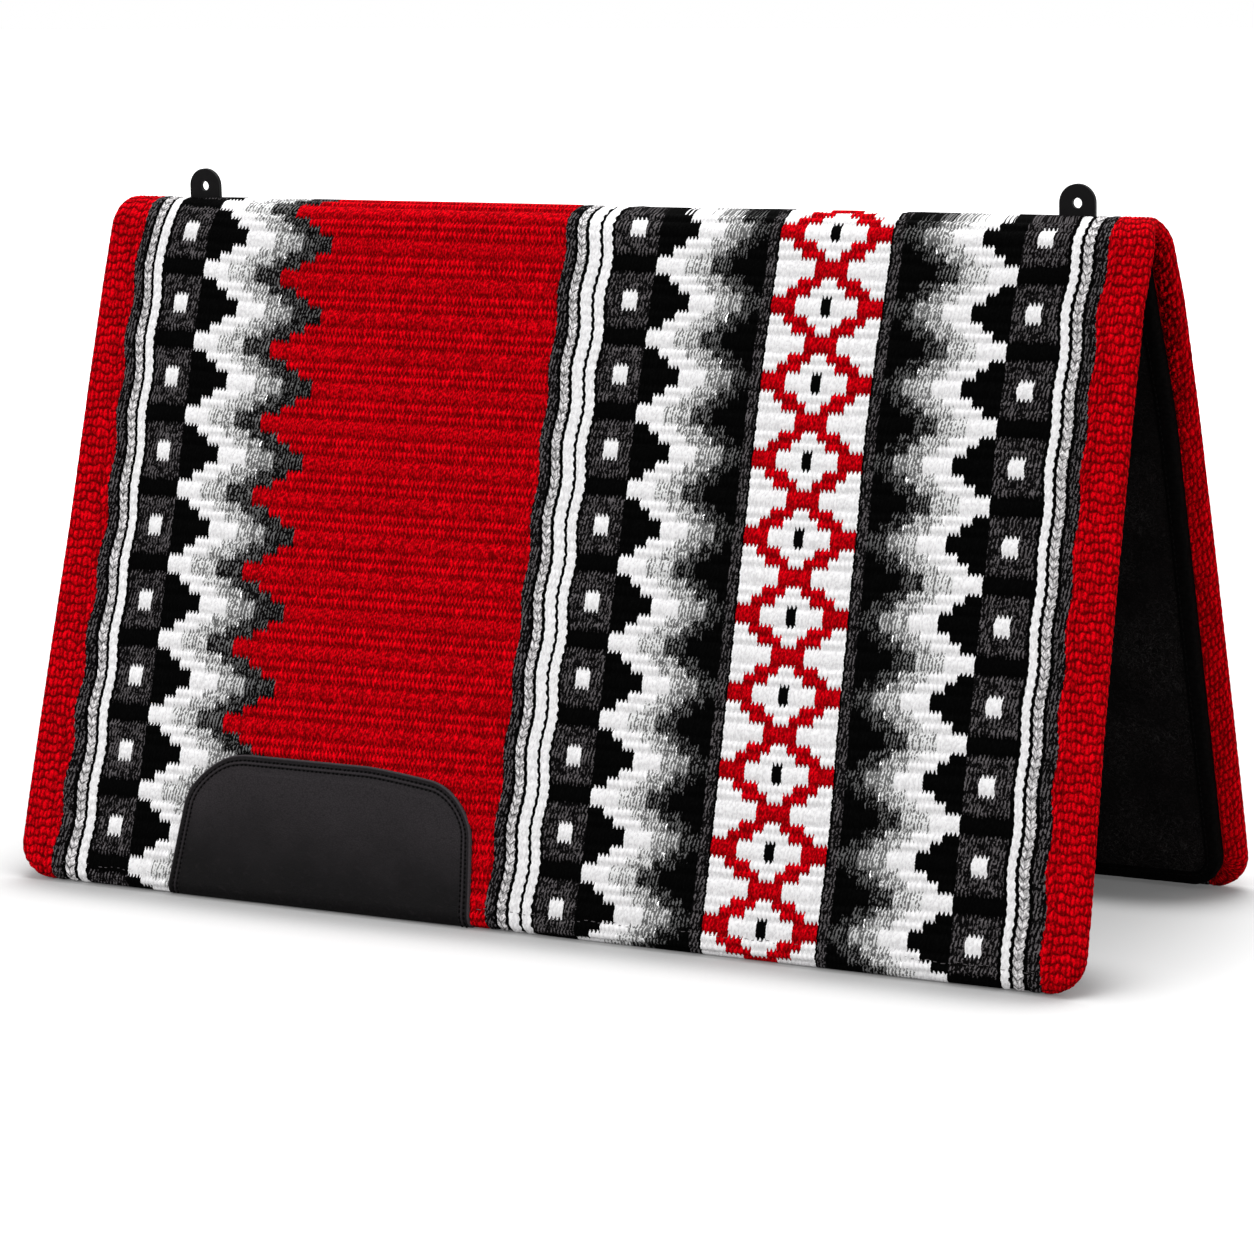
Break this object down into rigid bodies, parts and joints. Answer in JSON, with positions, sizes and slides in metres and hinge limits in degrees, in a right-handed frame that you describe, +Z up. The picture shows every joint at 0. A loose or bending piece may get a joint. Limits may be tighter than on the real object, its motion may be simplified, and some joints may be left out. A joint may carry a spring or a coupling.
{
  "type": "saddle blanket",
  "caption": "Thick woven wool western saddle blanket folded over its spine, with a tape-bound felt liner, wear leathers turned under the hems and round-topped hanging tabs on the ridge.",
  "frame": {"origin": "on the floor, under the middle of the ridge", "axes": "+X along the spine towards the right tab, -Y out to the near drop, +Y out to the far drop, +Z up"},
  "size_m": [0.813, 0.3212, 0.4997],
  "materials": {
    "wool": "weft-faced wool in tight ribs, dull; the figure in black, white and greys is painted by the scene",
    "felt": "thick pressed felt, dull, with loose curled fibres",
    "binding": "woven tape, dull",
    "leather": "fine grain, soft sheen",
    "tab": "smooth, half dull"
  },
  "bodies": {
    "spine": {"woven_fold": "wool", "felt_fold": "felt", "left_fold_binding": "binding", "right_fold_binding": "binding", "left_hanging_tab": "tab", "right_hanging_tab": "tab"},
    "near_side": {"near_woven_drop": "wool", "near_felt_panel": "felt", "near_felt_binding": "binding", "near_wear_leather": "leather"},
    "far_side": {"far_woven_drop": "wool", "far_felt_panel": "felt", "far_felt_binding": "binding", "far_wear_leather": "leather"}
  },
  "joints": [
    {"name": "near_side_swing", "type": "hinge", "parent": "spine", "child": "near_side", "pos_m": [0, -0.01331, 0.47103], "axis": [-1, 0, 0], "range_deg": [-16.5, 73.5], "deforming": ["woven_fold", "felt_fold", "left_fold_binding", "right_fold_binding"]},
    {"name": "far_side_swing", "type": "hinge", "parent": "spine", "child": "far_side", "pos_m": [0, 0.01331, 0.47103], "axis": [1, 0, 0], "range_deg": [-16.5, 73.5], "deforming": ["woven_fold", "felt_fold", "left_fold_binding", "right_fold_binding"]}
  ]
}
